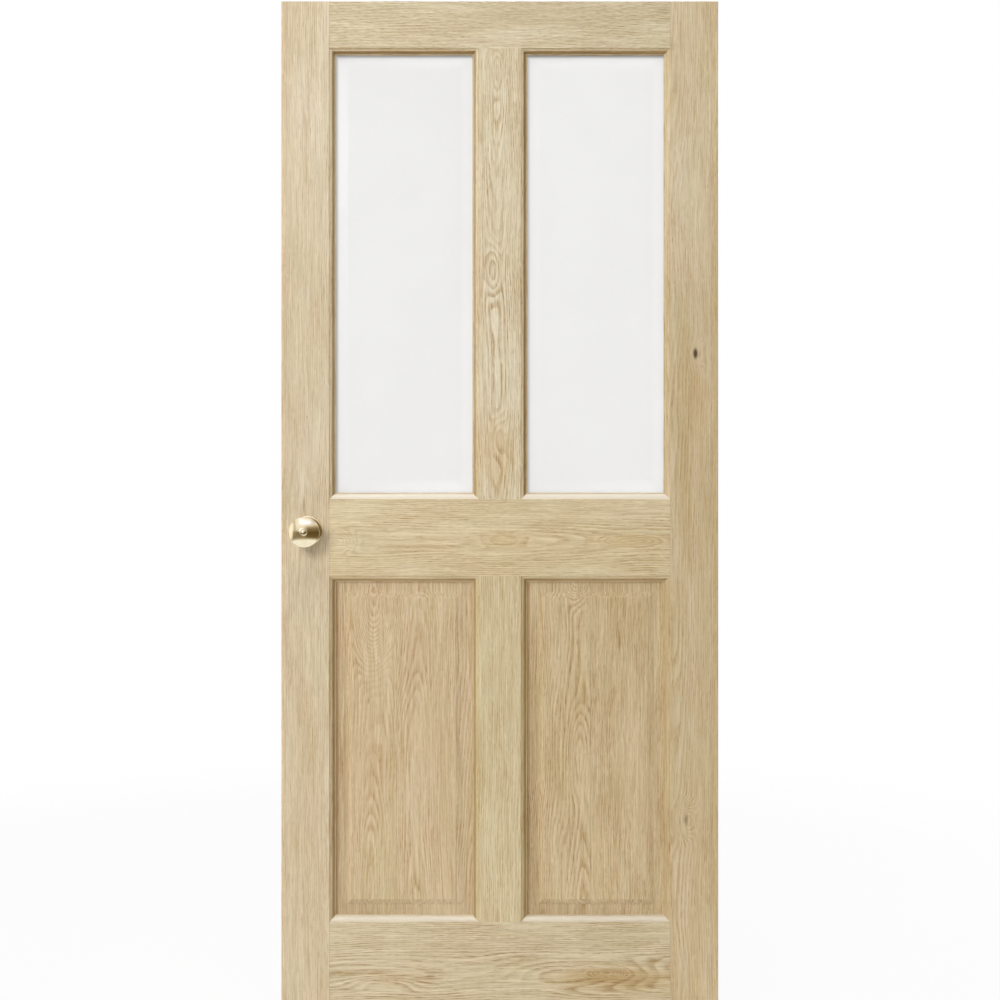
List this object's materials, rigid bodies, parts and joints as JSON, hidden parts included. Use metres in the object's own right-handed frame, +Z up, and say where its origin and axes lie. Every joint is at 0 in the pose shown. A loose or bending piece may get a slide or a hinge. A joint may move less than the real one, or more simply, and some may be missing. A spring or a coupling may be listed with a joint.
{
  "type": "victorian four panel door",
  "caption": "Oak door leaf with bevelled glass panes over raised and fielded panels, moulded framing and a turned brass knob on each face.",
  "frame": {"origin": "middle of the hinge edge's flat face: half way up the leaf and in the middle of its thickness", "axes": "+X out of the hinge edge, so the leaf lies on the -X side; +Y from the pictured front face through to the back; +Z up"},
  "size_m": [0.838, 0.1644, 1.981],
  "materials": {
    "oak": "pale matt oiled oak",
    "panel_oak": "pale matt oiled oak, a shade warmer",
    "glass": "bevelled glass",
    "brass": "polished",
    "steel": "zinc plated",
    "block_plastic": "moulded"
  },
  "bodies": {
    "leaf": {"lock_stile": "oak", "hinge_stile": "oak", "top_rail": "oak", "lock_rail": "oak", "bottom_rail": "oak", "upper_muntin": "oak", "lower_muntin": "oak", "lower_panel_left": "panel_oak", "lower_panel_right": "panel_oak", "glass_left": "glass", "glass_right": "glass", "glass_blocks_left": "block_plastic", "glass_blocks_right": "block_plastic", "bead_left_top": "oak", "bead_left_bottom": "oak", "bead_left_lock_side": "oak", "bead_left_muntin_side": "oak", "bead_right_top": "oak", "bead_right_bottom": "oak", "bead_right_muntin_side": "oak", "bead_right_hinge_side": "oak", "rose_front": "brass", "rose_back": "brass"},
    "knob": {"knob_front": "brass", "knob_back": "brass", "spindle": "steel", "grub_screw_front": "steel", "grub_screw_back": "steel"}
  },
  "joints": [
    {"name": "knob_turn", "type": "hinge", "parent": "leaf", "child": "knob", "pos_m": [-0.7885, 0, -0.025], "axis": [0, 1, 0], "range_deg": [-60, 60], "stiffness_Nm_per_rad": 0.5}
  ]
}
